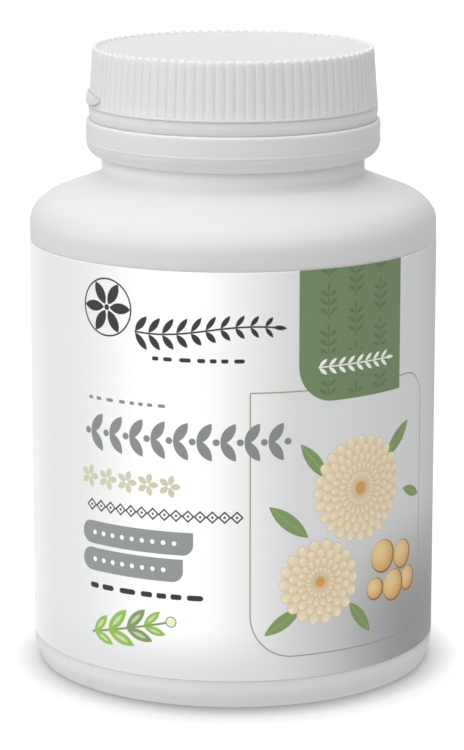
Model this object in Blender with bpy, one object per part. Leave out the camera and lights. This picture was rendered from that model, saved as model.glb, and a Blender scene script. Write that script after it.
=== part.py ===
"""White plastic pill bottle with a ribbed screw cap, a tear-off band and a wrap-around label.

Metres, +Z up. The origin is the middle of the base, on the plane that the bottle stands on. The front of
the label faces -Y, and the pull tab of the tear-off band is on the -X side.
"""
import math

import bmesh
import bpy
from mathutils import Vector

MM = 0.001

# Clearance between two pieces that touch on the real bottle
GAP = 0.3 * MM

# Driving sizes of the bottle
BODY_RADIUS = 30.0 * MM
WALL = 1.2 * MM
HEEL_RUN = 1.4 * MM
HEEL_RISE = 2.2 * MM
PUSH_UP_RADIUS = 19.0 * MM
PUSH_UP_HEIGHT = 1.6 * MM
STANDING_RING_INNER = 23.0 * MM
SHOULDER_START_Z = 66.1 * MM
SHOULDER_RUN = 6.2 * MM
SHOULDER_RISE = 4.9 * MM
SHOULDER_SLOPE = math.radians(20.8)
NECK_RADIUS = 19.35 * MM
NECK_WALL = 1.5 * MM
NECK_FILLET = 0.8 * MM
COLLAR_RADIUS = 21.62 * MM
COLLAR_UNDERSIDE_RUN = 2.42 * MM
COLLAR_UNDERSIDE_RISE = 3.0 * MM
COLLAR_EDGE = 0.45 * MM
COLLAR_TOP_Z = 81.3 * MM
COLLAR_HEIGHT = 6.1 * MM

# The threaded mouth above the collar
MOUTH_RADIUS = 17.5 * MM
BORE_RADIUS = 15.7 * MM
LIP_Z = 89.2 * MM
LIP_CHAMFER = 0.4 * MM
BEAD_RADIUS = 18.6 * MM
BEAD_Z = 82.4 * MM
BEAD_HEIGHT = 1.0 * MM

# The screw thread, right-hand: the cap's ridge runs half a pitch below the bottle's ridge
THREAD_PITCH = 3.2 * MM
THREAD_START_Z = 84.5 * MM
THREAD_START = math.radians(2.0)
THREAD_TURN = math.radians(400.0)
THREAD_CREST_RADIUS = 18.65 * MM
THREAD_ROOT_WIDTH = 1.3 * MM
THREAD_CREST_WIDTH = 0.6 * MM
THREAD_STEP = math.radians(12.0)
THREAD_LEAD = math.radians(36.0)
THREAD_END_SHARE = 0.15

# The label
LABEL_BOTTOM_Z = 4.2 * MM
LABEL_TOP_Z = 63.6 * MM
LABEL_THICKNESS = 0.3 * MM
LABEL_BACK_GAP = 3.0 * MM
PANEL_MARGIN = 0.4 * MM

# The cap
CAP_TOP_Z = 92.0 * MM
SKIRT_BOTTOM_Z = 83.3 * MM
SKIRT_BOTTOM_RADIUS = 21.25 * MM
SKIRT_TOP_RADIUS = 20.6 * MM
SKIRT_TOP_Z = 91.3 * MM
SKIRT_INNER_RADIUS = 19.0 * MM
CAP_PLATE = 1.1 * MM
RIM_CREST_RADIUS = 20.25 * MM
RIM_DROP = 0.25 * MM
DISC_RADIUS = 15.4 * MM
DISC_DROP = 0.3 * MM
RIB_COUNT = 92
RIB_DEPTH = 0.38 * MM
RIB_LAND_SHARE = 0.58
FRONT_GROOVE_ANGLE = math.radians(270.7)
FOOT_BEAD_HEIGHT = 0.3 * MM
CAP_THREAD_CREST_RADIUS = 17.95 * MM
CAP_THREAD_DELAY = math.radians(130.0)
CAP_THREAD_TURN = math.radians(440.0)

# The tear-off band
BAND_RADIUS = 21.15 * MM
BAND_INNER_RADIUS = 19.0 * MM
BAND_LIP_RADIUS = 18.0 * MM
BAND_LIP_HEIGHT = 0.5 * MM

# The pull tab, from its root on the band to its pointed tip, beside the skirt
TAB_TOP_Z = 85.4 * MM
TAB_BOTTOM_Z = 83.0 * MM
TAB_TIP_Z = 84.5 * MM
TAB_THICKNESS = 0.55 * MM
TAB_CLEARANCE = 0.24 * MM
TAB_CORNER = 0.5 * MM
TAB_START = math.radians(152.0)
TAB_ROOT_START = math.radians(154.0)
TAB_ROOT_END = math.radians(166.0)
TAB_LIFTED = math.radians(174.0)
TAB_TAPER_START = math.radians(180.0)
TAB_TIP = math.radians(205.0)
TAB_TAPER_STEPS = 5
TAB_TIP_SHARE = 0.96

# The sealing disc
LINER_RADIUS = 18.6 * MM
LINER_THICKNESS = 0.8 * MM

# How finely round pieces are divided
ROUND_STEPS = 48
SMOOTH_ANGLE = math.radians(35.0)


def clear_scene():
    for item in list(bpy.data.objects):
        bpy.data.objects.remove(item, do_unlink=True)


def plastic(name, color, roughness):
    material = bpy.data.materials.new(name)
    material.use_nodes = True
    shader = material.node_tree.nodes["Principled BSDF"]
    shader.inputs["Base Color"].default_value = (*color, 1.0)
    shader.inputs["Roughness"].default_value = roughness
    shader.inputs["Metallic"].default_value = 0.0
    material.diffuse_color = (*color, 1.0)
    return material


def new_object(name, mesh_data, material=None):
    mesh = bpy.data.meshes.new(name)
    mesh_data.to_mesh(mesh)
    mesh_data.free()
    mesh.shade_smooth()
    mesh.set_sharp_from_angle(angle=SMOOTH_ANGLE)
    if material is not None:
        mesh.materials.append(material)
    made = bpy.data.objects.new(name, mesh)
    bpy.context.scene.collection.objects.link(made)
    return made


def arc(center, radii, start, end, steps):
    """Points on an elliptic arc in the (radius, height) plane, both ends included; degrees."""
    points = []
    for step in range(steps + 1):
        angle = math.radians(start + (end - start) * step / steps)
        points.append((center[0] + radii[0] * math.cos(angle), center[1] + radii[1] * math.sin(angle)))
    return points


def polar(radius, angle, z):
    return Vector((radius * math.cos(angle), radius * math.sin(angle), z))


def turned(profile, steps=ROUND_STEPS):
    """Spin a closed (radius, height) outline round +Z; points on the axis become poles."""
    shape = bmesh.new()
    points = [shape.verts.new((radius, 0.0, z)) for radius, z in profile]
    edges = [shape.edges.new(pair) for pair in zip(points, points[1:])]
    on_axis = profile[0][0] == 0.0 and profile[-1][0] == 0.0
    if not on_axis:
        edges.append(shape.edges.new((points[-1], points[0])))
    bmesh.ops.spin(shape, geom=points + edges, cent=(0, 0, 0), axis=(0, 0, 1), angle=math.tau,
                   steps=steps, use_merge=True, use_duplicate=False)
    bmesh.ops.remove_doubles(shape, verts=shape.verts, dist=0.001 * MM)
    bmesh.ops.recalc_face_normals(shape, faces=shape.faces)
    return shape


def band_between(shape, lower, upper):
    """A closed strip of faces between two loops with as many points each."""
    for index in range(len(lower)):
        after = (index + 1) % len(lower)
        shape.faces.new((lower[index], lower[after], upper[after], upper[index]))


def skinned(sections):
    """Join a row of like point loops into one closed skin, capped at both ends."""
    shape = bmesh.new()
    rows = [[shape.verts.new(point) for point in section] for section in sections]
    for near, far in zip(rows, rows[1:]):
        band_between(shape, near, far)
    shape.faces.new(rows[0])
    shape.faces.new(rows[-1])
    bmesh.ops.recalc_face_normals(shape, faces=shape.faces)
    return shape


def union(target, tool):
    """Fuse a hidden form into a piece with a Boolean modifier."""
    tool.hide_render = True
    tool.display_type = "WIRE"
    fuse = target.modifiers.new("fuse " + tool.name, "BOOLEAN")
    fuse.operation = "UNION"
    fuse.solver = "EXACT"
    fuse.object = tool


def thread_ridge(root_radius, crest_radius, start_z, start, turn):
    """One helical ridge of a right-hand thread, its height fading in and out at the two ends."""
    steps = round(turn / THREAD_STEP)
    sections = []
    for step in range(steps + 1):
        angle = turn * step / steps
        fade = min(1.0, angle / THREAD_LEAD, (turn - angle) / THREAD_LEAD)
        crest = root_radius + (crest_radius - root_radius) * max(fade, THREAD_END_SHARE)
        root = root_radius - math.copysign(GAP, crest_radius - root_radius)
        z = start_z + THREAD_PITCH * angle / math.tau
        half_root = THREAD_ROOT_WIDTH / 2
        half_crest = THREAD_CREST_WIDTH / 2
        corners = [(root, -half_root), (crest, -half_crest), (crest, half_crest), (root, half_root)]
        sections.append([polar(radius, start + angle, z + rise) for radius, rise in corners])
    return skinned(sections)


def shoulder_outline(inset):
    """The round corner and the start of the cone, from the body's wall up to the neck."""
    steep = math.atan2(SHOULDER_RISE, SHOULDER_RUN * math.tan(SHOULDER_SLOPE))
    center = (BODY_RADIUS - SHOULDER_RUN, SHOULDER_START_Z)
    radii = (SHOULDER_RUN - inset, SHOULDER_RISE - inset)
    return arc(center, radii, 0.0, math.degrees(steep), 5)


def neck_fillet_outline(shoulder_end):
    """The hollow round between the shoulder's cone and the upright neck."""
    center_radius = NECK_RADIUS + NECK_FILLET
    touch_radius = center_radius - NECK_FILLET * math.sin(SHOULDER_SLOPE)
    touch_z = shoulder_end[1] + (shoulder_end[0] - touch_radius) * math.tan(SHOULDER_SLOPE)
    center_z = touch_z + NECK_FILLET * math.cos(SHOULDER_SLOPE)
    start = 270.0 - math.degrees(SHOULDER_SLOPE)
    return arc((center_radius, center_z), (NECK_FILLET, NECK_FILLET), start, 180.0, 2)


def collar_outline():
    """The collar's rounded underside, its wall and its rounded top edge."""
    center_radius = COLLAR_RADIUS - COLLAR_UNDERSIDE_RUN
    center_z = COLLAR_TOP_Z - COLLAR_HEIGHT + COLLAR_UNDERSIDE_RISE
    start = -math.degrees(math.acos((NECK_RADIUS - center_radius) / COLLAR_UNDERSIDE_RUN))
    under = arc((center_radius, center_z), (COLLAR_UNDERSIDE_RUN, COLLAR_UNDERSIDE_RISE), start, 0.0, 4)
    edge_center = (COLLAR_RADIUS - COLLAR_EDGE, COLLAR_TOP_Z - COLLAR_EDGE)
    return under + arc(edge_center, (COLLAR_EDGE, COLLAR_EDGE), 0.0, 90.0, 2)


def bottle_outline():
    panel = BODY_RADIUS - GAP - LABEL_THICKNESS
    step = BODY_RADIUS - panel
    panel_bottom = LABEL_BOTTOM_Z - PANEL_MARGIN
    panel_top = LABEL_TOP_Z + PANEL_MARGIN
    shoulder = shoulder_outline(0.0)
    outside = [(0.0, PUSH_UP_HEIGHT), (PUSH_UP_RADIUS, PUSH_UP_HEIGHT), (STANDING_RING_INNER, 0.0)]
    outside += arc((BODY_RADIUS - HEEL_RUN, HEEL_RISE), (HEEL_RUN, HEEL_RISE), -90.0, 0.0, 3)
    outside += [(BODY_RADIUS, panel_bottom - step), (panel, panel_bottom)]
    outside += [(panel, panel_top), (BODY_RADIUS, panel_top + step)]
    outside += shoulder + neck_fillet_outline(shoulder[-1]) + collar_outline()
    outside += [(MOUTH_RADIUS, COLLAR_TOP_Z), (MOUTH_RADIUS, BEAD_Z)]
    outside += [(BEAD_RADIUS, BEAD_Z), (BEAD_RADIUS, BEAD_Z + BEAD_HEIGHT / 2)]
    outside += [(MOUTH_RADIUS, BEAD_Z + BEAD_HEIGHT), (MOUTH_RADIUS, LIP_Z - LIP_CHAMFER)]
    outside += [(MOUTH_RADIUS - LIP_CHAMFER, LIP_Z), (BORE_RADIUS + LIP_CHAMFER, LIP_Z)]

    cavity = panel - WALL
    neck_bore = NECK_RADIUS - NECK_WALL
    inner_shoulder = shoulder_outline(BODY_RADIUS - cavity)
    cone_rise = (inner_shoulder[-1][0] - neck_bore) * math.tan(SHOULDER_SLOPE)
    inside = [(BORE_RADIUS, LIP_Z - LIP_CHAMFER), (BORE_RADIUS, COLLAR_TOP_Z)]
    inside += [(neck_bore, COLLAR_TOP_Z - 2 * WALL), (neck_bore, inner_shoulder[-1][1] + cone_rise)]
    inside += inner_shoulder[::-2]
    inside += arc((cavity - WALL, HEEL_RISE + WALL), (WALL, HEEL_RISE), 0.0, -90.0, 2)
    inside += [(STANDING_RING_INNER + WALL / 2, WALL)]
    inside += [(PUSH_UP_RADIUS + WALL / 2, PUSH_UP_HEIGHT + WALL), (0.0, PUSH_UP_HEIGHT + WALL)]
    return outside + inside


def make_bottle(material):
    bottle = new_object("bottle", turned(bottle_outline()), material)
    ridge = thread_ridge(MOUTH_RADIUS, THREAD_CREST_RADIUS, THREAD_START_Z, THREAD_START, THREAD_TURN)
    union(bottle, new_object("bottle_thread_form", ridge))
    return bottle


def make_label(material):
    """A thin sleeve with a narrow bare strip between its two ends, at the back."""
    outer = BODY_RADIUS
    inner = BODY_RADIUS - LABEL_THICKNESS
    half_gap = LABEL_BACK_GAP / 2 / BODY_RADIUS
    back = math.radians(90.0)
    angles = [back + half_gap]
    angles += [back + math.tau * step / ROUND_STEPS for step in range(1, ROUND_STEPS)]
    angles.append(back + math.tau - half_gap)
    corners = [(inner, LABEL_BOTTOM_Z), (outer, LABEL_BOTTOM_Z), (outer, LABEL_TOP_Z), (inner, LABEL_TOP_Z)]
    sections = [[polar(radius, angle, z) for radius, z in corners] for angle in angles]
    return new_object("label", skinned(sections), material)


def rib_ring(land_radius, groove_radius, land_z, groove_z):
    """One loop round the skirt: in each pitch a narrow groove and the two edges of a broad land."""
    points = []
    pitch = math.tau / RIB_COUNT
    for rib in range(RIB_COUNT):
        groove = FRONT_GROOVE_ANGLE + rib * pitch
        land_start = groove + pitch * (1 - RIB_LAND_SHARE) / 2
        land_end = groove + pitch * (1 + RIB_LAND_SHARE) / 2
        points.append(polar(groove_radius, groove, groove_z))
        points.append(polar(land_radius, land_start, land_z))
        points.append(polar(land_radius, land_end, land_z))
    return points


def plain_ring(radius, z):
    """A round loop with one point to each groove."""
    angles = [FRONT_GROOVE_ANGLE + rib * math.tau / RIB_COUNT for rib in range(RIB_COUNT)]
    return [polar(radius, angle, z) for angle in angles]


def make_cap(material):
    foot_z = SKIRT_BOTTOM_Z + FOOT_BEAD_HEIGHT
    taper = (SKIRT_BOTTOM_RADIUS - SKIRT_TOP_RADIUS) / (SKIRT_TOP_Z - SKIRT_BOTTOM_Z)
    land_foot = SKIRT_BOTTOM_RADIUS - taper * FOOT_BEAD_HEIGHT
    plate_z = CAP_TOP_Z - DISC_DROP - CAP_PLATE
    shape = bmesh.new()

    def loop(points):
        return [shape.verts.new(point) for point in points]

    def ledge(ribbed, plain):
        for rib in range(RIB_COUNT):
            first = 3 * rib
            after = (rib + 1) % RIB_COUNT
            land_start, land_end = ribbed[first + 1], ribbed[first + 2]
            next_groove = ribbed[(first + 3) % len(ribbed)]
            shape.faces.new((ribbed[first], land_start, plain[rib]))
            shape.faces.new((land_start, land_end, plain[after], plain[rib]))
            shape.faces.new((land_end, next_groove, plain[after]))

    def disc(ring, z):
        middle = shape.verts.new((0.0, 0.0, z))
        for index in range(len(ring)):
            shape.faces.new((ring[index], ring[(index + 1) % len(ring)], middle))

    foot = loop(rib_ring(SKIRT_BOTTOM_RADIUS, SKIRT_BOTTOM_RADIUS, SKIRT_BOTTOM_Z, SKIRT_BOTTOM_Z))
    ribs_start = loop(rib_ring(land_foot, land_foot - RIB_DEPTH, foot_z, foot_z))
    ribs_end = loop(rib_ring(SKIRT_TOP_RADIUS, SKIRT_TOP_RADIUS - RIB_DEPTH, SKIRT_TOP_Z, SKIRT_TOP_Z))
    notch_radius = RIM_CREST_RADIUS - RIB_DEPTH / 2
    crest = loop(rib_ring(RIM_CREST_RADIUS, notch_radius, CAP_TOP_Z, CAP_TOP_Z - RIM_DROP))
    for lower, upper in zip((foot, ribs_start, ribs_end), (ribs_start, ribs_end, crest)):
        band_between(shape, lower, upper)
    shelf = loop(plain_ring(RIM_CREST_RADIUS - 2 * RIB_DEPTH, CAP_TOP_Z - RIM_DROP / 2))
    recess = loop(plain_ring(DISC_RADIUS, CAP_TOP_Z - DISC_DROP))
    ledge(crest, shelf)
    band_between(shape, shelf, recess)
    disc(recess, CAP_TOP_Z - DISC_DROP)

    mouth = loop(plain_ring(SKIRT_INNER_RADIUS, SKIRT_BOTTOM_Z))
    roof = loop(plain_ring(SKIRT_INNER_RADIUS, plate_z))
    ledge(foot, mouth)
    band_between(shape, mouth, roof)
    disc(roof, plate_z)
    bmesh.ops.recalc_face_normals(shape, faces=shape.faces)

    cap = new_object("cap", shape, material)
    start_z = THREAD_START_Z - THREAD_PITCH / 2 + THREAD_PITCH * CAP_THREAD_DELAY / math.tau
    ridge = thread_ridge(SKIRT_INNER_RADIUS, CAP_THREAD_CREST_RADIUS, start_z,
                         THREAD_START + CAP_THREAD_DELAY, CAP_THREAD_TURN)
    union(cap, new_object("cap_thread_form", ridge))
    return cap


def pull_tab():
    """A curved plate: its root reaches down over the band, and it narrows to a tip towards the front."""
    inner = SKIRT_BOTTOM_RADIUS + TAB_CLEARANCE
    outer = inner + TAB_THICKNESS
    root_z = COLLAR_TOP_Z + 2 * GAP
    stations = [(TAB_START, root_z + TAB_CORNER, TAB_TOP_Z - TAB_CORNER)]
    stations += [(TAB_ROOT_START, root_z, TAB_TOP_Z), (TAB_ROOT_END, root_z, TAB_TOP_Z)]
    stations.append((TAB_LIFTED, TAB_BOTTOM_Z, TAB_TOP_Z))
    for step in range(TAB_TAPER_STEPS + 1):
        share = TAB_TIP_SHARE * step / TAB_TAPER_STEPS
        angle = TAB_TAPER_START + (TAB_TIP - TAB_TAPER_START) * share
        narrowing = math.sqrt(1.0 - share ** 2)
        bottom = TAB_TIP_Z + (TAB_BOTTOM_Z - TAB_TIP_Z) * narrowing
        top = TAB_TIP_Z + (TAB_TOP_Z - TAB_TIP_Z) * narrowing
        stations.append((angle, bottom, top))
    sections = []
    for angle, bottom, top in stations:
        corners = [(inner, bottom), (outer, bottom), (outer, top), (inner, top)]
        sections.append([polar(radius, angle, z) for radius, z in corners])
    return skinned(sections)


def tab_root():
    """The short block that carries the pull tab on the band."""
    outer = SKIRT_BOTTOM_RADIUS + TAB_CLEARANCE + TAB_THICKNESS / 2
    bottom = COLLAR_TOP_Z + 2 * GAP
    top = SKIRT_BOTTOM_Z - 2 * GAP
    inner = BAND_INNER_RADIUS + 2 * GAP
    corners = [(inner, bottom), (outer, bottom), (outer, top), (inner, top)]
    spokes = [TAB_ROOT_START, (TAB_ROOT_START + TAB_ROOT_END) / 2, TAB_ROOT_END]
    return skinned([[polar(radius, angle, z) for radius, z in corners] for angle in spokes])


def make_tear_band(material):
    """The tear-off strip, which hooks under the bead of the mouth, with its pull tab."""
    bottom = COLLAR_TOP_Z + GAP
    top = SKIRT_BOTTOM_Z - GAP
    outline = [(BAND_RADIUS, top), (BAND_RADIUS, bottom), (BAND_LIP_RADIUS, bottom)]
    outline += [(BAND_LIP_RADIUS, bottom + BAND_LIP_HEIGHT), (BAND_INNER_RADIUS, bottom + BAND_LIP_HEIGHT)]
    outline += [(BAND_INNER_RADIUS, top)]
    band = new_object("tear_band", turned(outline), material)
    union(band, new_object("tab_root_form", tab_root()))
    union(band, new_object("pull_tab_form", pull_tab()))
    return band


def make_liner(material):
    top = CAP_TOP_Z - DISC_DROP - CAP_PLATE - GAP
    bottom = top - LINER_THICKNESS
    outline = [(0.0, bottom), (LINER_RADIUS, bottom), (LINER_RADIUS, top), (0.0, top)]
    return new_object("liner", turned(outline), material)


def main():
    clear_scene()
    make_bottle(plastic("bottle_plastic", (0.86, 0.86, 0.86), 0.42))
    make_label(plastic("label_film", (0.93, 0.93, 0.93), 0.35))
    make_tear_band(plastic("band_plastic", (0.85, 0.85, 0.85), 0.4))
    make_cap(plastic("cap_plastic", (0.86, 0.86, 0.86), 0.4))
    make_liner(plastic("liner_foam", (0.9, 0.9, 0.88), 0.8))


main()
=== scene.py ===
"""The looks of a white plastic pill bottle with a ribbed screw cap, a tear-off band and a printed label.

Sizes and places are in millimetres, and turn into Blender's metres where a mesh or the camera is made. The
bottle stands on z = 0, the front of its label faces -Y and its pull tab is on the -X side.
"""
import math

import bmesh
import bpy
from mathutils import Matrix, Vector


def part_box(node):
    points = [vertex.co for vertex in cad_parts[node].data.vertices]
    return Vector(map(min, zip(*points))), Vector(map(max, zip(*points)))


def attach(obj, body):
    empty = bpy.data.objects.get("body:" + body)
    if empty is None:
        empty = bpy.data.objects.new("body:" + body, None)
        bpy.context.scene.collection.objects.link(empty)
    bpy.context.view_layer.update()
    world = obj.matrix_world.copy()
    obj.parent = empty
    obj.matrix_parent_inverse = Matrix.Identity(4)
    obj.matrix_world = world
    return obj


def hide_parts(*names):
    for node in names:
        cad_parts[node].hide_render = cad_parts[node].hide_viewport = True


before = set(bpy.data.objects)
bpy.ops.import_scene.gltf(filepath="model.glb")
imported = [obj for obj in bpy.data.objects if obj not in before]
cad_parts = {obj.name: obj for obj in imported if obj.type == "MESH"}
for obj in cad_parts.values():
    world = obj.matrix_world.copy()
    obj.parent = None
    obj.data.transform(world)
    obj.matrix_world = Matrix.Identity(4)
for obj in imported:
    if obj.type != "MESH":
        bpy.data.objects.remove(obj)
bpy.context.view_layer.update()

MM = 0.001


def reach(node):
    """A CAD node's farthest x, its lowest z and its highest z."""
    low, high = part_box(node)
    return high[0] / MM, low[2] / MM, high[2] / MM


# ---- sizes

# Read from the frame
BODY_RADIUS, STANDING_Z, LIP_Z = reach("bottle")
LABEL_RADIUS, LABEL_BOTTOM, LABEL_TOP = reach("label")
SKIRT_RADIUS, SKIRT_BOTTOM, CAP_TOP = reach("cap")
STRIP_BOTTOM, TAB_TOP = reach("tear_band")[1:]
LINER_BOTTOM, LINER_TOP = reach("liner")[1:]
GAP = LINER_BOTTOM - LIP_Z

# Bottle: base, wall and shoulder
WALL = 1.2
HEEL_RUN = 0.95
HEEL_RISE = 2.3
HEEL_ROUND = 3.0
HEEL_EDGE = 0.3
HEEL_START = BODY_RADIUS - 2 * HEEL_RUN
WELD_LENGTH = 14.5
WELD_FADE = 2.0
WELD_HALF_WIDTH = 0.7
WELD_HEIGHT = 0.3
PUSH_UP_FLAT = WELD_LENGTH + 1.0
PUSH_UP_RADIUS = 19.0
PUSH_UP_HEIGHT = 1.6
PUSH_UP_ROUND = 2.0
STANDING_RING_INNER = 23.0
STANDING_RING_ROUND = 3.0
FLOOR_ROUND = 1.5
SHOULDER_START = 66.1
SHOULDER_RUN = 6.2
SHOULDER_RISE = 4.75
SHOULDER_SLOPE = math.radians(20.8)
PANEL_DEPTH = 0.1
PANEL_INSET = 0.12
PANEL_ROUND = 0.15
PARTING_HALF_WIDTH = 0.18
PARTING_HEIGHT = 0.045

# Bottle: neck and collar
NECK_RADIUS = 19.35
NECK_WALL = 1.5
NECK_FILLET = 1.0
COLLAR_RADIUS = 21.62
COLLAR_BOTTOM = 75.8
COLLAR_TOP = STRIP_BOTTOM - GAP
COLLAR_UNDERSIDE_RUN = 2.42
COLLAR_UNDERSIDE_RISE = 2.3
COLLAR_LINE_RISE = 0.08
COLLAR_LINE_CREST = 0.1
COLLAR_LINE_END = 0.4
COLLAR_LINE_ROUND = 0.2
COLLAR_EDGE = 0.3

# Bottle: the threaded mouth
MOUTH_RADIUS = 17.5
BORE_RADIUS = 15.7
BORE_ROUND = 1.0
BEAD_RADIUS = 18.6
BEAD_BOTTOM = 82.4
BEAD_HEIGHT = 1.0
BEAD_TOP = BEAD_BOTTOM + BEAD_HEIGHT
BEAD_EDGE = 0.15
BEAD_ROUND = 0.3
BEAD_NOOK = 0.1
MOUTH_START = BEAD_TOP + BEAD_NOOK
LIP_ROUND = 0.4
LIP_FILLET = LIP_ROUND * 0.9

# The screw thread, right-hand: the cap's ridge runs half a pitch below the bottle's
THREAD_PITCH = 3.2
THREAD_START_Z = 84.5
THREAD_START = math.radians(2.0)
THREAD_TURN = math.radians(400.0)
THREAD_HEIGHT = 1.15
THREAD_ROOT_HALF = 0.65
THREAD_CREST_HALF = 0.3
THREAD_LEAD = math.radians(36.0)
CAP_THREAD_HEIGHT = 1.05
CAP_THREAD_DELAY = math.radians(130.0)
CAP_THREAD_TURN = math.radians(440.0)

# Cap
RIB_COUNT = 92
RIB_DEPTH = 0.11
RIB_CROWN = 0.02
GROOVE_SHARE = 0.5
GROOVE_STATIONS = (-0.25, -0.18, -0.1, -0.04, 0.0, 0.04, 0.1, 0.18, 0.25, 0.5)
FRONT_GROOVE = math.radians(270.7)
RIM_NOTCH = 0.36
SKIRT_TOP_RADIUS = 20.6
SKIRT_INNER = 19.0
FOOT_BEAD = 0.3
FOOT_RAMP = 0.16
FOOT_LEDGE = 0.08
FOOT_EDGE = 0.02
CORNER_ROUND = 0.32
RIM_TOP = CAP_TOP - 0.08
RIM_INNER = 19.2
CROWN_INNER = 19.75
SHELF_DROP = 0.36
SHELF_CROWN = 0.03
DISC_RADIUS = 14.4
DISC_DROP = 0.07
DISC_STEP_HALF = 0.5
DISC_STEP_ROUND = 1.5
DISC_SAG = 0.03
DISC_SAG_RADIUS = 9.0
DISC_SAG_ROUND = 3.0
GATE_EDGE = 0.9
GATE_RADIUS = 0.6
GATE_DROP = 0.07
CAP_PLATE_BOTTOM = LINER_TOP + GAP

# Tear-off strip and its pull tab
STRIP_TOP = SKIRT_BOTTOM - 0.01
STRIP_LOW = COLLAR_TOP + 0.02
STRIP_FACE = SKIRT_RADIUS - 0.03
STRIP_COVE = 0.14
STRIP_COVE_RISE = 0.3
STRIP_COVE_ROUND = 0.25
STRIP_FACE_RISE = 1.0
STRIP_FACE_ROUND = 0.9
STRIP_EDGE = 0.02
STRIP_INNER = 19.0
HOOK_RADIUS = 18.0
HOOK_HEIGHT = 0.5
NIB_COUNT = 2
NIB_START = math.radians(343.4)
NIB_RADIUS = STRIP_FACE + 0.07
NIB_HALF_WIDTH = 0.3
NIB_HEIGHT = 0.4
TAB_INNER = SKIRT_RADIUS + 0.05
TAB_THICKNESS = 0.45
TAB_SLIM_HALF = 1.1
TAB_ROOT_BOTTOM = COLLAR_TOP + 2 * GAP
TAB_BOTTOM = 83.5
TAB_TIP_Z = 84.8
TAB_ROOT_ROUND = 0.9
TAB_START = math.radians(152.0)
TAB_ROUNDED = math.radians(155.0)
TAB_ROOT_END = math.radians(166.0)
TAB_LIFTED = math.radians(175.0)
TAB_TAPER_START = math.radians(180.0)
TAB_TIP = math.radians(205.0)
TAB_SWEPT = 0.995
TAB_CROWN_POWER = 0.5
TAB_EDGE_POWER = 0.8
TAB_GRIP_PITCH = math.radians(2.4)
TAB_GRIP_RISE = 0.05
TAB_GRIP_FACE = 0.6

# Label
LABEL_THICKNESS = 0.09
LABEL_PROUD = 0.05
# How wide the painted highlight along the label's top edge is
TOP_HIGHLIGHT_WIDTH = 0.1
LABEL_BACK_GAP = 3.0
LABEL_CORNER = 2.5

# How finely the skins are divided
ROUND_STEPS = 240
STRIP_STEPS = 360
CURVE_STEPS = 14
PUSH_UP_STEPS = 12
CORNER_STEPS = 8
TAB_STEPS = 96
TAB_LOOP_STEPS = 28
FILLET_STEP = math.radians(15.0)
THREAD_ROW = 0.16
CREASE_ANGLE = math.radians(40.0)
MERGE_DISTANCE = 0.002


# ---- outlines


def smooth(value, start, end):
    """0 at start, 1 at end, and a soft step between them."""
    share = min(1.0, max(0.0, (value - start) / (end - start)))
    return share * share * (3.0 - 2.0 * share)


def polar(radius, angle, z):
    return Vector((radius * math.cos(angle), radius * math.sin(angle), z))


def straight(start, end, steps):
    """Evenly spaced points of a straight outline, both ends included."""
    start, end = Vector(start), Vector(end)
    return [tuple(start.lerp(end, step / steps)) for step in range(steps + 1)]


def arc(center, radii, start, end, steps):
    """Points on an elliptic arc in the (radius, height) plane, both ends included; degrees."""
    points = []
    for step in range(steps + 1):
        angle = math.radians(start + (end - start) * step / steps)
        points.append((center[0] + radii[0] * math.cos(angle), center[1] + radii[1] * math.sin(angle)))
    return points


def filleted(corners):
    """An outline through (radius, height, fillet) corners; the two ends need no fillet."""
    points = [tuple(corners[0][:2])]
    for before, corner, after in zip(corners, corners[1:], corners[2:]):
        here = Vector(corner[:2])
        back = (Vector(before[:2]) - here).normalized()
        ahead = (Vector(after[:2]) - here).normalized()
        half = back.angle(ahead) / 2
        middle = here + (back + ahead).normalized() * corner[2] / math.sin(half)
        spoke = here + back * corner[2] / math.tan(half) - middle
        turn = math.copysign(math.pi - 2 * half, back.y * ahead.x - back.x * ahead.y)
        steps = max(2, round(abs(turn) / FILLET_STEP))
        for step in range(steps + 1):
            points.append(tuple(middle + Matrix.Rotation(turn * step / steps, 2) @ spoke))
    points.append(tuple(corners[-1][:2]))
    return points


# ---- meshes


def new_mesh(name, points, faces):
    """A smooth-shaded mesh object, its points given in millimetres."""
    shape = bmesh.new()
    made = [shape.verts.new(Vector(point) * MM) for point in points]
    for face in faces:
        shape.faces.new([made[index] for index in face])
    bmesh.ops.remove_doubles(shape, verts=shape.verts, dist=MERGE_DISTANCE * MM)
    bmesh.ops.recalc_face_normals(shape, faces=shape.faces)
    mesh = bpy.data.meshes.new(name)
    shape.to_mesh(mesh)
    shape.free()
    mesh.shade_smooth()
    mesh.set_sharp_from_angle(angle=CREASE_ANGLE)
    thing = bpy.data.objects.new(name, mesh)
    bpy.context.scene.collection.objects.link(thing)
    return thing


def as_is(radius, height, angle):
    return radius, height


def turned(name, stretches, angles):
    """Sweep (outline, bend) stretches round +Z into one closed skin; a bend moves the points it passes."""
    points, rows = [], []
    for outline, bend in stretches:
        for radius, height in outline:
            if radius == 0.0:
                rows.append([len(points)] * len(angles))
                points.append((0.0, 0.0, bend(radius, height, 0.0)[1]))
                continue
            rows.append(range(len(points), len(points) + len(angles)))
            for angle in angles:
                moved_radius, moved_height = bend(radius, height, angle)
                points.append(polar(moved_radius, angle, moved_height))
    faces = []
    for near, far in zip(rows, rows[1:] + rows[:1]):
        for here in range(len(angles)):
            beyond = (here + 1) % len(angles)
            corners = dict.fromkeys((near[here], near[beyond], far[beyond], far[here]))
            if len(corners) > 2:
                faces.append(tuple(corners))
    return new_mesh(name, points, faces)


def skinned(name, sections):
    """Join a row of like point loops into one closed skin, capped at both ends."""
    count = len(sections[0])
    points = [point for section in sections for point in section]
    faces = [tuple(range(count)), tuple(range(len(points) - count, len(points)))]
    for row in range(len(sections) - 1):
        for here in range(count):
            beyond = (here + 1) % count
            start = row * count
            faces.append((start + here, start + beyond, start + count + beyond, start + count + here))
    return new_mesh(name, points, faces)


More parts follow.
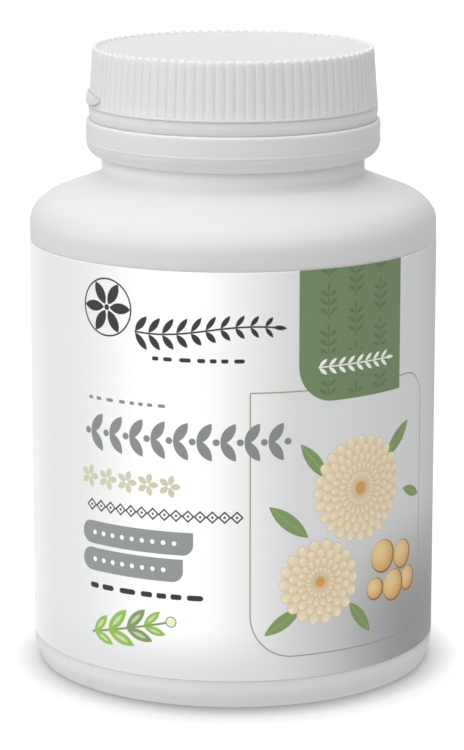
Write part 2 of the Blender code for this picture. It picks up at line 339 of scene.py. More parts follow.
def fused(target, *others):
    """Fuse other meshes into a piece, and leave no spare object behind."""
    for other in others:
        fuse = target.modifiers.new("fuse", "BOOLEAN")
        fuse.operation = "UNION"
        fuse.solver = "EXACT"
        fuse.object = other
    graph = bpy.context.evaluated_depsgraph_get()
    whole = bpy.data.meshes.new_from_object(target.evaluated_get(graph), depsgraph=graph)
    target.modifiers.clear()
    target.data = whole
    for other in others:
        bpy.data.objects.remove(other, do_unlink=True)
    return target


# ---- the bottle


def thread_rise(height, angle, start_z, start, turn):
    """How far a thread's ridge stands up at this place, from 0 at its root to 1 on its crest."""
    rise = 0.0
    wound = (angle - start) % math.tau
    while wound <= turn:
        off = abs(height - start_z - THREAD_PITCH * wound / math.tau)
        flank = smooth(off, THREAD_ROOT_HALF, THREAD_CREST_HALF)
        rise = max(rise, flank * min(1.0, wound / THREAD_LEAD, (turn - wound) / THREAD_LEAD))
        wound += math.tau
    return rise


def bottle_thread(radius, height, angle):
    rise = thread_rise(height, angle, THREAD_START_Z, THREAD_START, THREAD_TURN)
    return radius + THREAD_HEIGHT * rise, height


def weld_line(radius, height, angle):
    """The pinch-off weld that blow moulding leaves across the middle of the base."""
    across = abs(radius * math.sin(angle))
    along = abs(radius * math.cos(angle))
    ridge = smooth(across, WELD_HALF_WIDTH, 0.0) * smooth(along, WELD_LENGTH, WELD_LENGTH - WELD_FADE)
    return radius, height - WELD_HEIGHT * ridge


def parting_line(radius, height, angle):
    """The faint raised line where the two mould halves met, on the +X and -X sides."""
    off = abs(math.remainder(angle, math.pi)) * radius
    return radius + PARTING_HEIGHT * smooth(off, PARTING_HALF_WIDTH, 0.0), height


def bottle_angles():
    """Even steps round the bottle, with closer ones at the two parting lines."""
    close = PARTING_HALF_WIDTH / BODY_RADIUS
    angles = [math.tau * step / ROUND_STEPS for step in range(ROUND_STEPS)]
    for side in (0.0, math.pi):
        angles += [(side + close * share) % math.tau for share in (-1.0, -0.5, 0.5, 1.0)]
    return sorted(angles)


def shoulder_outline(inset):
    """The round corner from the body's wall to the start of the shoulder's cone."""
    steep = math.atan2(SHOULDER_RISE, SHOULDER_RUN * math.tan(SHOULDER_SLOPE))
    center = (BODY_RADIUS - SHOULDER_RUN, SHOULDER_START)
    radii = (SHOULDER_RUN - inset, SHOULDER_RISE - inset)
    return arc(center, radii, 0.0, math.degrees(steep), CURVE_STEPS)


def cone_height(start, radius):
    """The height at which the shoulder's cone, from its start, comes in to this radius."""
    return start[1] + (start[0] - radius) * math.tan(SHOULDER_SLOPE)


def base_outline():
    """From the middle of the push-up out to the ring on which the bottle stands."""
    push_up = straight((0.0, PUSH_UP_HEIGHT), (PUSH_UP_FLAT, PUSH_UP_HEIGHT), PUSH_UP_STEPS)
    edge = [(PUSH_UP_FLAT, PUSH_UP_HEIGHT), (PUSH_UP_RADIUS, PUSH_UP_HEIGHT, PUSH_UP_ROUND)]
    edge += [(STANDING_RING_INNER, STANDING_Z, STANDING_RING_ROUND), (HEEL_START, STANDING_Z)]
    return push_up + filleted(edge)


def wall_outline():
    """From the heel up over the label's panel and the shoulder to the collar."""
    panel = BODY_RADIUS - PANEL_DEPTH
    low = LABEL_BOTTOM + PANEL_INSET
    high = LABEL_TOP - PANEL_INSET
    shoulder = shoulder_outline(0.0)
    wall = [(HEEL_START, STANDING_Z), (BODY_RADIUS - HEEL_RUN, STANDING_Z, HEEL_EDGE)]
    wall += [(BODY_RADIUS, HEEL_RISE, HEEL_ROUND), (BODY_RADIUS, low - PANEL_DEPTH, PANEL_ROUND)]
    wall += [(panel, low, PANEL_ROUND), (panel, high, PANEL_ROUND)]
    wall += [(BODY_RADIUS, high + PANEL_DEPTH, PANEL_ROUND), (BODY_RADIUS, SHOULDER_START)]
    neck = [shoulder[-1], (NECK_RADIUS, cone_height(shoulder[-1], NECK_RADIUS), NECK_FILLET)]
    neck += [(NECK_RADIUS, COLLAR_BOTTOM)]
    return filleted(wall) + shoulder + filleted(neck)


def collar_outline():
    """The collar's rounded underside, thin raised line, wall and top, and the mouth's bead over it."""
    center_radius = COLLAR_RADIUS - COLLAR_UNDERSIDE_RUN
    line_z = COLLAR_BOTTOM + COLLAR_UNDERSIDE_RISE
    radii = (COLLAR_UNDERSIDE_RUN, COLLAR_UNDERSIDE_RISE)
    start = -math.degrees(math.acos((NECK_RADIUS - center_radius) / COLLAR_UNDERSIDE_RUN))
    under = arc((center_radius, line_z), radii, start, 0.0, CURVE_STEPS)
    crest = (COLLAR_RADIUS + COLLAR_LINE_RISE, line_z + COLLAR_LINE_CREST, COLLAR_LINE_CREST)
    wall = [(COLLAR_RADIUS, line_z), crest, (COLLAR_RADIUS, line_z + COLLAR_LINE_END, COLLAR_LINE_ROUND)]
    wall += [(COLLAR_RADIUS, COLLAR_TOP, COLLAR_EDGE), (MOUTH_RADIUS, COLLAR_TOP, COLLAR_EDGE)]
    bead = [(MOUTH_RADIUS, BEAD_BOTTOM, BEAD_NOOK), (BEAD_RADIUS, BEAD_BOTTOM, BEAD_EDGE)]
    bead += [(BEAD_RADIUS, BEAD_BOTTOM + BEAD_HEIGHT / 2, BEAD_ROUND)]
    bead += [(MOUTH_RADIUS, BEAD_TOP, BEAD_EDGE), (MOUTH_RADIUS, MOUTH_START)]
    return under + filleted(wall + bead)


def mouth_outline():
    """The mouth's wall, in rows that are close enough for its thread."""
    high = LIP_Z - LIP_ROUND
    rows = round((high - MOUTH_START) / THREAD_ROW)
    return straight((MOUTH_RADIUS, MOUTH_START), (MOUTH_RADIUS, high), rows)


def lip_outline():
    low = LIP_Z - LIP_ROUND
    return filleted([(MOUTH_RADIUS, low), (MOUTH_RADIUS, LIP_Z, LIP_FILLET),
                     (BORE_RADIUS, LIP_Z, LIP_FILLET), (BORE_RADIUS, low)])


def inside_outline():
    """From the bore down the inside of the wall to the middle of the floor."""
    cavity = BODY_RADIUS - PANEL_DEPTH - WALL
    neck_bore = NECK_RADIUS - NECK_WALL
    shoulder = shoulder_outline(BODY_RADIUS - cavity)
    neck = [(BORE_RADIUS, LIP_Z - LIP_ROUND), (BORE_RADIUS, COLLAR_TOP, BORE_ROUND)]
    neck += [(neck_bore, COLLAR_TOP - 2 * WALL, BORE_ROUND)]
    neck += [(neck_bore, cone_height(shoulder[-1], neck_bore), WALL / 2), shoulder[-1]]
    heel = arc((cavity - WALL, HEEL_RISE + WALL), (WALL, HEEL_RISE), 0.0, -90.0, 6)
    floor = [heel[-1], (STANDING_RING_INNER + WALL / 2, WALL, FLOOR_ROUND)]
    floor += [(PUSH_UP_RADIUS + WALL / 2, PUSH_UP_HEIGHT + WALL, FLOOR_ROUND), (0.0, PUSH_UP_HEIGHT + WALL)]
    return filleted(neck) + shoulder[::-1] + heel + filleted(floor)


def make_bottle():
    stretches = [(base_outline(), weld_line), (wall_outline(), parting_line), (collar_outline(), as_is)]
    stretches += [(mouth_outline(), bottle_thread), (lip_outline(), as_is), (inside_outline(), as_is)]
    return turned("bottle_shell", stretches, bottle_angles())


# ---- the label


def make_label():
    """A thin film sleeve, its four corners rounded off where its two ends nearly meet at the back."""
    outer = LABEL_RADIUS + LABEL_PROUD
    inner = outer - LABEL_THICKNESS
    half = math.pi * LABEL_RADIUS - LABEL_BACK_GAP / 2
    turns = [math.pi / 2 * step / CORNER_STEPS for step in range(CORNER_STEPS)]
    insets = [LABEL_CORNER * (1.0 - math.cos(turn)) for turn in turns]
    span = half - LABEL_CORNER
    places = [-half + inset for inset in insets]
    places += [-span + 2 * span * step / ROUND_STEPS for step in range(ROUND_STEPS + 1)]
    places += [half - inset for inset in reversed(insets)]
    sections = []
    for place in places:
        into_corner = max(0.0, abs(place) - span)
        cut = LABEL_CORNER - math.sqrt(max(0.0, LABEL_CORNER ** 2 - into_corner ** 2))
        angle = place / LABEL_RADIUS - math.pi / 2
        low, high = LABEL_BOTTOM + cut, LABEL_TOP - cut
        loop = [(inner, low), (outer, low), (outer, high), (inner, high)]
        sections.append([polar(radius, angle, z) for radius, z in loop])
    return skinned("printed_label", sections)


# ---- the cap


def groove(angle):
    """1 in the middle of a groove between two ribs, 0 on the ribs, which crown slightly."""
    place = (angle - FRONT_GROOVE) / math.tau * RIB_COUNT
    off = abs(place - round(place))
    if off < GROOVE_SHARE / 2:
        return math.cos(math.pi * off / GROOVE_SHARE) ** 2
    return -RIB_CROWN / RIB_DEPTH * math.sin(math.pi * (off * 2 - GROOVE_SHARE) / (1 - GROOVE_SHARE) / 2)


def ribbed(radius, height, angle):
    """Grooves that start over the foot bead and run out through the rounded corner on to the rim."""
    foot = SKIRT_BOTTOM + FOOT_BEAD
    corner = (SKIRT_TOP_RADIUS - CORNER_ROUND, RIM_TOP - CORNER_ROUND)
    deep = smooth(height, foot, foot + FOOT_RAMP) * smooth(radius, CROWN_INNER, corner[0])
    lean = math.atan2(max(0.0, height - corner[1]), max(1e-6, radius - corner[0]))
    cut = groove(angle) * deep
    return radius - RIB_DEPTH * cut * math.cos(lean), height - RIM_NOTCH * cut * math.sin(lean)


def cap_thread(radius, height, angle):
    start_z = THREAD_START_Z - THREAD_PITCH / 2 + THREAD_PITCH * CAP_THREAD_DELAY / math.tau
    rise = thread_rise(height, angle, start_z, THREAD_START + CAP_THREAD_DELAY, CAP_THREAD_TURN)
    return radius - CAP_THREAD_HEIGHT * rise, height


def skirt_outline():
    """From the skirt's inner foot out over the foot bead, up the ribs and over the corner to the rim."""
    foot = SKIRT_BOTTOM + FOOT_BEAD
    corner = (SKIRT_TOP_RADIUS - CORNER_ROUND, RIM_TOP - CORNER_ROUND)
    bead = [(SKIRT_INNER, SKIRT_BOTTOM), (SKIRT_RADIUS, SKIRT_BOTTOM, FOOT_EDGE), (SKIRT_RADIUS, foot)]
    outline = filleted(bead)
    outline += straight((SKIRT_RADIUS, foot), (SKIRT_RADIUS - FOOT_LEDGE, foot + FOOT_RAMP), 4)
    outline += straight(outline[-1], (SKIRT_TOP_RADIUS, corner[1]), 6)
    outline += arc(corner, (CORNER_ROUND, CORNER_ROUND), 0.0, 90.0, CORNER_STEPS)
    for share in (0.25, 0.5, 0.75, 1.0):
        fall = SHELF_DROP * smooth(share, 0.0, 1.0)
        outline.append((corner[0] + (CROWN_INNER - corner[0]) * share, RIM_TOP - fall))
    return outline + [(RIM_INNER, RIM_TOP - SHELF_DROP)]


def top_outline():
    """The cap's plain shelf, the step down to its disc and the gate mark in the middle."""
    level = RIM_TOP - SHELF_DROP
    disc = level - DISC_DROP
    sunk = disc - DISC_SAG
    shelf = [(RIM_INNER, level), (DISC_RADIUS + DISC_STEP_HALF, level + SHELF_CROWN, DISC_STEP_ROUND)]
    shelf += [(DISC_RADIUS - DISC_STEP_HALF, disc, DISC_STEP_ROUND), (DISC_SAG_RADIUS, sunk, DISC_SAG_ROUND)]
    gate = [(GATE_EDGE, sunk, 0.4), (GATE_RADIUS, disc - GATE_DROP, 0.2), (0.0, disc - GATE_DROP)]
    return filleted(shelf + gate)


def make_cap():
    rows = round((CAP_PLATE_BOTTOM - SKIRT_BOTTOM) / THREAD_ROW)
    inner_wall = straight((SKIRT_INNER, CAP_PLATE_BOTTOM), (SKIRT_INNER, SKIRT_BOTTOM), rows)
    angles = [FRONT_GROOVE + (rib + station) / RIB_COUNT * math.tau
              for rib in range(RIB_COUNT) for station in GROOVE_STATIONS]
    stretches = [(skirt_outline(), ribbed), (top_outline(), as_is), ([(0.0, CAP_PLATE_BOTTOM)], as_is)]
    return turned("ribbed_cap", stretches + [(inner_wall, cap_thread)], angles)


# ---- the tear-off strip


def bridged(radius, height, angle):
    """Raises the strip at the thin bridges that hold it until it is torn off."""
    off = abs(math.remainder(angle - NIB_START, math.tau / NIB_COUNT)) * radius
    on_nib = off < NIB_HALF_WIDTH and STRIP_TOP - NIB_HEIGHT < height < STRIP_TOP
    return max(radius, NIB_RADIUS) if on_nib else radius, height


def tab_edges(angle):
    """The heights of the pull tab's lower and upper edge, from its rounded root to its narrow tip."""
    lifted = smooth(angle, TAB_ROOT_END, TAB_LIFTED)
    bottom = TAB_ROOT_BOTTOM + (TAB_BOTTOM - TAB_ROOT_BOTTOM) * lifted
    share = max(0.0, (angle - TAB_TAPER_START) / (TAB_TIP - TAB_TAPER_START))
    narrowing = math.sqrt(max(0.0, 1.0 - share ** 2))
    bottom = TAB_TIP_Z + (bottom - TAB_TIP_Z) * narrowing
    top = TAB_TIP_Z + (TAB_TOP - TAB_TIP_Z) * narrowing
    into_root = max(0.0, (TAB_ROUNDED - angle) / (TAB_ROUNDED - TAB_START))
    round_end = 1.0 - math.sqrt(max(0.0, 1.0 - into_root ** 2))
    return bottom + TAB_ROOT_ROUND * round_end, top - TAB_ROOT_ROUND * round_end


def pull_tab():
    """The curved grip: a rounded section swept beside the skirt, with fine grip ridges on its outside."""
    lean = (SKIRT_RADIUS - SKIRT_TOP_RADIUS) / (RIM_TOP - SKIRT_BOTTOM)
    sections = []
    for step in range(TAB_STEPS + 1):
        angle = TAB_START + (TAB_TIP - TAB_START) * TAB_SWEPT * step / TAB_STEPS
        bottom, top = tab_edges(angle)
        half = (top - bottom) / 2
        slim = min(1.0, half / TAB_SLIM_HALF)
        grip = TAB_GRIP_RISE * (0.5 + 0.5 * math.cos(math.tau * (angle - TAB_ROUNDED) / TAB_GRIP_PITCH))
        loop = []
        for corner in range(TAB_LOOP_STEPS):
            turn = math.tau * corner / TAB_LOOP_STEPS
            out = max(0.0, math.cos(turn)) ** TAB_CROWN_POWER
            up = math.copysign(abs(math.sin(turn)) ** TAB_EDGE_POWER, math.sin(turn))
            height = (top + bottom) / 2 + half * up
            depth = TAB_THICKNESS * out - (grip if out > TAB_GRIP_FACE else 0.0)
            loop.append(polar(TAB_INNER - lean * (height - SKIRT_BOTTOM) + depth * slim, angle, height))
        sections.append(loop)
    return skinned("pull_tab", sections)


def tab_root():
    """The short block that carries the pull tab on the strip."""
    top = STRIP_TOP - GAP
    corners = [(STRIP_INNER + GAP, TAB_ROOT_BOTTOM), (TAB_INNER + TAB_THICKNESS / 2, TAB_ROOT_BOTTOM)]
    corners += [(TAB_INNER + TAB_THICKNESS / 2, top), (STRIP_INNER + GAP, top)]
    sections = []
    for step in range(CORNER_STEPS + 1):
        angle = TAB_ROUNDED + (TAB_ROOT_END - TAB_ROUNDED) * step / CORNER_STEPS
        sections.append([polar(radius, angle, z) for radius, z in corners])
    return skinned("tab_root", sections)


def make_tear_strip():
    """The strip between skirt and collar, hooked under the mouth's bead, with its bridges and pull tab."""
    cove_radius = STRIP_FACE - STRIP_COVE
    outer = [(cove_radius, STRIP_LOW), (cove_radius, STRIP_LOW + STRIP_COVE_RISE, STRIP_COVE_ROUND)]
    outer += [(STRIP_FACE, STRIP_LOW + STRIP_FACE_RISE, STRIP_FACE_ROUND)]
    outer += [(STRIP_FACE, STRIP_TOP - NIB_HEIGHT / 2, 0.0)]
    outer += [(STRIP_FACE, STRIP_TOP, STRIP_EDGE), (STRIP_INNER, STRIP_TOP)]
    inner = [(STRIP_INNER, STRIP_BOTTOM + HOOK_HEIGHT), (HOOK_RADIUS, STRIP_BOTTOM + HOOK_HEIGHT)]
    inner += [(HOOK_RADIUS, STRIP_LOW)]
    stretches = [(filleted(outer)[:-1], bridged), ([outer[-1]] + inner, as_is)]
    angles = [math.tau * step / STRIP_STEPS for step in range(STRIP_STEPS)]
    strip = turned("tear_strip", stretches, angles)
    return fused(strip, tab_root(), pull_tab())


# ---- finishes


def srgb(red, green, blue):
    """A colour as a screen or an ink chart gives it, 0 to 255, in Blender's linear values."""
    parts = []
    for value in (red, green, blue):
        share = value / 255
        parts.append(share / 12.92 if share < 0.04045 else ((share + 0.055) / 1.055) ** 2.4)
    return (*parts, 1.0)


def grey(value):
    return value, value, value, 1.0


class Wire:
    """One output of a node. Arithmetic on it, also with plain numbers, adds Math nodes to its tree."""

    def __init__(self, tree, socket):
        self.tree = tree
        self.socket = socket

    def math(self, operation, *values, clamped=False):
        """A Math node on these values."""
        settings = {"operation": operation, "use_clamp": clamped}
        return self.tree.node("ShaderNodeMath", settings, dict(enumerate(values)))

    def __add__(self, other):
        return self.math("ADD", self, other)

    __radd__ = __add__

    def __sub__(self, other):
        return self.math("SUBTRACT", self, other)

    def __rsub__(self, other):
        return self.math("SUBTRACT", other, self)

    def __mul__(self, other):
        return self.math("MULTIPLY", self, other)

    __rmul__ = __mul__

    def __truediv__(self, other):
        return self.math("DIVIDE", self, other)

    def __abs__(self):
        return self.math("ABSOLUTE", self)

    def at_least(self, other):
        return self.math("MAXIMUM", self, other)

    def at_most(self, other):
        return self.math("MINIMUM", self, other)

    def power(self, exponent):
        return self.math("POWER", self, exponent)

    def sine(self):
        return self.math("SINE", self)

    def cosine(self):
        return self.math("COSINE", self)

    def within_unit(self):
        return self.math("ADD", self, 0.0, clamped=True)

    def off_nearest(self, period):
        """Distance from the nearest whole multiple of the period, with its sign."""
        return self.math("WRAP", self, period / 2, -period / 2)


class NodeTree:
    """The nodes of a material or of the world, and the one way in which they are made."""

    def __init__(self, owner):
        self.owner = owner
        self.tree = owner.node_tree

    def node(self, kind, settings, sockets, output=0):
        """Add a node: its settings first, then its sockets' values or wires. Gives one of its outputs."""
        made = self.tree.nodes.new(kind)
        for name, value in settings.items():
            setattr(made, name, value)
        for name, value in sockets.items():
            if isinstance(value, Wire):
                self.tree.links.new(value.socket, made.inputs[name])
            else:
                made.inputs[name].default_value = value
        return Wire(self, made.outputs[output])

    def own(self, kind, name):
        """A socket of the shader that the tree was made with."""
        return next(node for node in self.tree.nodes if node.bl_idname == kind).inputs[name]

    def set_up(self, kind, constants):
        for name, value in constants.items():
            self.own(kind, name).default_value = value

    def feed(self, kind, name, wire):
        self.tree.links.new(wire.socket, self.own(kind, name))

    def mixed(self, share, under, over):
        """A colour between two others."""
        sockets = {0: share, 6: under, 7: over}
        return self.node("ShaderNodeMix", {"data_type": "RGBA", "clamp_factor": True}, sockets, 2)

    def parts(self, vector):
        return [self.node("ShaderNodeSeparateXYZ", {}, {0: vector}, output) for output in range(3)]

    def place(self):
        """Where the shaded point is on the resting object, as a vector in millimetres."""
        spot = self.node("ShaderNodeTexCoord", {}, {}, "Object")
        return self.node("ShaderNodeVectorMath", {"operation": "SCALE"}, {0: spot, "Scale": 1 / MM})

    def noise(self, place, per_mm, detail, stretch=(1.0, 1.0, 1.0)):
        """Soft cloudy values round 0.5, this many to a millimetre."""
        spread = {0: place, 1: stretch}
        stretched = self.node("ShaderNodeVectorMath", {"operation": "MULTIPLY"}, spread)
        return self.node("ShaderNodeTexNoise", {}, {"Vector": stretched, "Scale": per_mm, "Detail": detail})

    def length(self, across, along):
        """The length of the step (across, along)."""
        step = self.node("ShaderNodeCombineXYZ", {}, {0: across, 1: along})
        return self.node("ShaderNodeVectorMath", {"operation": "LENGTH"}, {0: step}, 1)

    def relief(self, height, depth):
        """A Bump node's normal, for a relief of this depth in millimetres."""
        return self.node("ShaderNodeBump", {}, {"Height": height, "Distance": depth * MM})


def soft_step(value, start, end):
    """The step that smooth takes, for a wire."""
    share = ((value - start) / (end - start)).within_unit()
    return share * share * (3.0 - 2.0 * share)


def new_finish(name, constants):
    """A material's nodes, the constants set on its Principled shader's own sockets."""
    material = bpy.data.materials.new(name)
    material.use_nodes = True
    finish = NodeTree(material)
    finish.set_up(SHADER, constants)
    return finish


SHADER = "ShaderNodeBsdfPrincipled"
PLASTIC_SATIN = 0.37

# Heights at which the bottle's painted light, a paler tone on its cone, neck and heel, fades in or out, as
# (start, end), and its share
CONE_PAINTED_LIGHT = (68.0, 71.0)
CONE_PAINTED_LIGHT_SHARE = 0.5
NECK_PAINTED_LIGHT = (73.4, 74.6)
COLLAR_PAINTED_LIGHT_END = (77.4, 76.2)
HEEL_PAINTED_LIGHT = (5.0, 2.5)
HEEL_PAINTED_LIGHT_SHARE = 0.6


def moulded_plastic(name, pale, deep, waviness, painted_light_tone=None):
    """White plastic: a soft sheen, faint clouding, a fine grain and a slight wave.

    The painted light tone is a paler colour painted on the bottle's shoulder, neck and heel, as light shining
    through.
    """
    finish = new_finish(name, {"IOR": 1.54, "Specular IOR Level": 0.5, "Subsurface Weight": 1.0,
                               "Subsurface Radius": (1.0, 1.0, 1.0), "Subsurface Scale": MM})
    place = finish.place()
    clouds = finish.noise(place, per_mm=0.09, detail=3.0)
    grain = finish.noise(place, per_mm=5.0, detail=2.0)
    waves = finish.noise(place, per_mm=0.12, detail=1.0, stretch=(1.0, 1.0, 0.5))
    color = finish.mixed(clouds, grey(deep), grey(pale))
    # Painted light: the shoulder's cone, the neck and the heel are painted paler, as if lit through the wall
    if painted_light_tone is not None:
        height = finish.parts(place)[2]
        painted_light = soft_step(height, *CONE_PAINTED_LIGHT) * CONE_PAINTED_LIGHT_SHARE
        painted_light = painted_light + soft_step(height, *NECK_PAINTED_LIGHT) * (1.0 - CONE_PAINTED_LIGHT_SHARE)
        painted_light = painted_light * soft_step(height, *COLLAR_PAINTED_LIGHT_END)
        painted_light = painted_light + soft_step(height, *HEEL_PAINTED_LIGHT) * HEEL_PAINTED_LIGHT_SHARE
        color = finish.mixed(painted_light, color, grey(painted_light_tone))
    finish.feed(SHADER, "Base Color", color)
    finish.feed(SHADER, "Roughness", PLASTIC_SATIN + 0.1 * clouds + 0.06 * grain)
    finish.feed(SHADER, "Normal", finish.relief(waves * waviness + grain * 0.02, depth=0.5))
    return finish.owner


def foam_liner():
    """The sealing disc: matt foam board with a fine pebbled skin."""
    finish = new_finish("liner_foam_board", {"IOR": 1.45})
    place = finish.place()
    cells = finish.node("ShaderNodeTexVoronoi", {"feature": "SMOOTH_F1"}, {"Vector": place, "Scale": 2.4})
    speckle = finish.noise(place, per_mm=1.2, detail=4.0)
    finish.feed(SHADER, "Base Color", finish.mixed(speckle, srgb(232, 230, 224), srgb(245, 244, 240)))
    finish.feed(SHADER, "Roughness", 0.7 + 0.15 * speckle)
    finish.feed(SHADER, "Normal", finish.relief(cells, depth=0.12))
    return finish.owner


# ---- the print on the label

INK_EDGE = 0.07
SQUARE = 0.1
DASH_GAP_HALF = 0.4
DASH_SWAY = 0.22
DASH_ROUND = 0.45

PAPER = srgb(250, 250, 249)
# A painted highlight along the label's top edge
EDGE_HIGHLIGHT_WHITE = srgb(253, 253, 253)
LEAF_GREEN = srgb(107, 131, 91)
DEEP_GREEN = srgb(88, 110, 75)
INK_BLACK = srgb(40, 40, 38)
STONE_GREY = srgb(129, 133, 130)
BAR_GREY = srgb(138, 142, 140)
SAND = srgb(197, 195, 170)
OLIVE_LINE = srgb(150, 152, 122)
# Painted shade greys for the label; the grey on the right is also the picture's printed backdrop
SHADE_BAND_GREY = srgb(221, 222, 222)
BACKDROP_AND_SHADE_GREY = srgb(214, 215, 215)
DEEP_SHADE_GREY = srgb(150, 151, 150)
CREAM = srgb(240, 225, 196)
CREAM_SHADE = srgb(205, 180, 140)
GOLD = srgb(206, 156, 84)
GOLD_SHADE = srgb(158, 106, 48)
GOLD_LIGHT = srgb(236, 205, 146)
FRESH_GREEN = srgb(140, 182, 74)
SPRIG_GREEN = srgb(122, 146, 92)
PALE_GREEN = srgb(226, 236, 206)
PALE_TWIG = srgb(236, 240, 230)

# Where the label's painted shade greys fade in or out, as (start, end) across (s) or up (h)
BAND_IN = (-45.0, -30.0)
BAND_OUT = (-8.0, -26.0)
TURNED_AWAY = (72.0, 44.0)
BACKDROP_SHADE_IN = (-7.0, 11.0)
FOOT_FADE = 9.0
FOOT_IN = (-42.0, -24.0)
SIDE_IN = (32.0, 42.0)
SIDE_SHARE = 0.2
LOW_FADE = (30.0, 10.0)
LOW_IN = (4.0, 32.0)
EDGE_HIGHLIGHT_SHARE = 0.7

# Rows of (s, h, turn, half length), (s, h, radius), (place, turn, half length, colour), (end, h)
PICTURE_LEAVES = ((11.8, 36.0, 128.0, 3.4), (27.2, 37.2, 40.0, 3.6), (31.2, 28.6, -20.0, 2.6),
                  (8.0, 27.4, 140.0, 3.8), (7.2, 12.8, 215.0, 3.4), (19.6, 12.0, -52.0, 3.2))
BERRIES = ((24.2, 20.2, 2.5), (28.8, 19.6, 2.2), (30.4, 15.6, 1.9), (26.6, 15.4, 2.4), (22.6, 15.6, 1.7))
SPRIG_LEAVES = ((-4.6, 36.0, 1.9, FRESH_GREEN), (-1.4, 34.0, 2.4, FRESH_GREEN),
                (1.8, 32.0, 2.2, SPRIG_GREEN), (4.4, 28.0, 1.7, FRESH_GREEN))
GREY_BARS = ((-5.7, 24.3), (-7.2, 20.3))


class Print:
    """The label's artwork. Shapes are signed distances in millimetres, over across (s) and up (h)."""

    def __init__(self, finish):
        self.finish = finish
        x, y, self.h = finish.parts(finish.place())
        self.s = x.math("ARCTAN2", x, y * -1.0) * LABEL_RADIUS
        self.color = PAPER

    def tint(self, share, color):
        """Lay a share of a colour over all that is printed so far."""
        self.color = self.finish.mixed(share, self.color, color)

    def ink(self, distance, color, strength=1.0):
        """Lay a colour inside a shape."""
        cover = distance.math("SUBTRACT", 0.5, distance / INK_EDGE, clamped=True)
        self.tint(cover if strength == 1.0 else cover * strength, color)

    def about(self, s, h, degrees=0.0):
        """Coordinates from a middle point, turned to the left by an angle."""
        return turned_axes(self.s - s, self.h - h, degrees)

    def beyond(self, start, end):
        """Distance outside the stretch of the label from start to end, less than 0 within it."""
        return abs(self.s - (start + end) / 2) - (end - start) / 2

    def row(self, first, pace, count):
        """Distance from the nearest of a row of motifs, and the distance beyond the row's ends."""
        ends = self.beyond(first - pace / 2, first + pace * (count - 0.5))
        return (self.s - first).off_nearest(pace), ends

    def rounded(self, past_side, past_top, corner):
        """The outline that two edges make together, with its corners rounded."""
        outside = self.finish.length((past_side + corner).at_least(0.0), (past_top + corner).at_least(0.0))
        return outside + (past_side.at_least(past_top) + corner).at_most(0.0) - corner

    def bar(self, across, up, half_width, half_height, corner):
        """A rectangle with rounded corners round the origin of (across, up)."""
        return self.rounded(abs(across) - half_width, abs(up) - half_height, corner)

    def corners(self, across, up, top_left, top_right, low_right, low_left):
        """A corner radius that is different in each quarter."""
        right, top = across.math("GREATER_THAN", across, 0.0), up.math("GREATER_THAN", up, 0.0)
        upper = top_left + right * (top_right - top_left)
        lower = low_left + right * (low_right - low_left)
        return lower + top * (upper - lower)

    def dot(self, across, up, radius):
        return self.finish.length(across, up) - radius

    def leaf(self, across, up, half_length, half_width, degrees=0.0):
        """A pointed leaf that lies along across, turned to the left by an angle."""
        across, up = turned_axes(across, up, degrees)
        bow = (half_length ** 2 + half_width ** 2) / (2 * half_width)
        return self.finish.length(across, abs(up) + (bow - half_width)) - bow

    def lozenge(self, across, up, half_width, half_height):
        """A diamond round the origin of (across, up)."""
        slope = half_width * half_height / math.hypot(half_width, half_height)
        return (abs(across) / half_width + abs(up) / half_height - 1.0) * slope

    def rosette(self, across, up, petals, middle, half_length, half_width):
        """Petals round the origin of (across, up), each with its middle this far out."""
        around = across.math("ARCTAN2", up, across).off_nearest(math.tau / petals)
        far = self.finish.length(across, up)
        return self.leaf(far * around.cosine() - middle, far * around.sine(), half_length, half_width)

    def dashes(self, start, end, h, height, count):
        """A row of plain rounded dashes of uneven lengths, from start to end."""
        pace = (end - start) / count
        run = self.s - start
        uneven = run + (run * (3 * math.pi / (end - start))).sine() * (pace * DASH_SWAY)
        past_end = (DASH_GAP_HALF - abs(uneven.off_nearest(pace))).at_least(self.beyond(start, end))
        return self.rounded(past_end, abs(self.h - h) - height / 2, height * DASH_ROUND)


def turned_axes(across, up, degrees):
    """The same step on axes that are turned to the left."""
    if degrees == 0.0:
        return across, up
    cosine, sine = math.cos(math.radians(degrees)), math.sin(math.radians(degrees))
    return across * cosine + up * sine, up * cosine - across * sine


def print_banner(art):
    """The green panel at the top right: rows of small sprigs in a deeper green, and a pale twig over them."""
    across, up = art.about(18.5, 58.0)
    panel = art.bar(across, up, 9.1, 13.4, art.corners(across, up, SQUARE, SQUARE, SQUARE, low_left=5.3))
    art.ink(panel, LEAF_GREEN)
    column_pace, row_pace, pair_pace = 4.6, 5.8, 1.3
    column = art.s.math("ROUND", across / column_pace)
    cell_across = across.off_nearest(column_pace)
    cell_up = (art.h - 50.0 + column * (row_pace / 2)).off_nearest(row_pace)
    stem = art.bar(cell_across, cell_up, 0.09, 2.3, corner=0.08)
    pairs = art.leaf(abs(cell_across) - 0.75, (cell_up - 0.2).off_nearest(pair_pace), 0.85, 0.27, 38.0)
    bud = art.leaf(cell_across, cell_up - 2.35, 0.62, 0.24, 90.0)
    sprig = stem.at_most(pairs.at_least(abs(cell_up) - 1.9)).at_most(bud)
    twig_up = art.h - 49.6
    inside = (panel + 0.8).at_least(abs(across) - 7.2).at_least(2.0 - abs(twig_up))
    art.ink(sprig.at_least(inside), DEEP_GREEN, strength=0.85)

    pace, pairs = 1.55, 8
    cell = (across + pace * (pairs + 1) / 2).off_nearest(pace)
    leaves = art.leaf(cell, abs(twig_up) - 0.62, 0.8, 0.27, 40.0)
    twig = leaves.at_most(abs(twig_up) - 0.1).at_least(abs(across) - pace * pairs / 2)
    tip = art.leaf(across - pace * pairs / 2 - 0.4, twig_up, 0.8, 0.28)
    art.ink(twig.at_most(tip), PALE_TWIG)


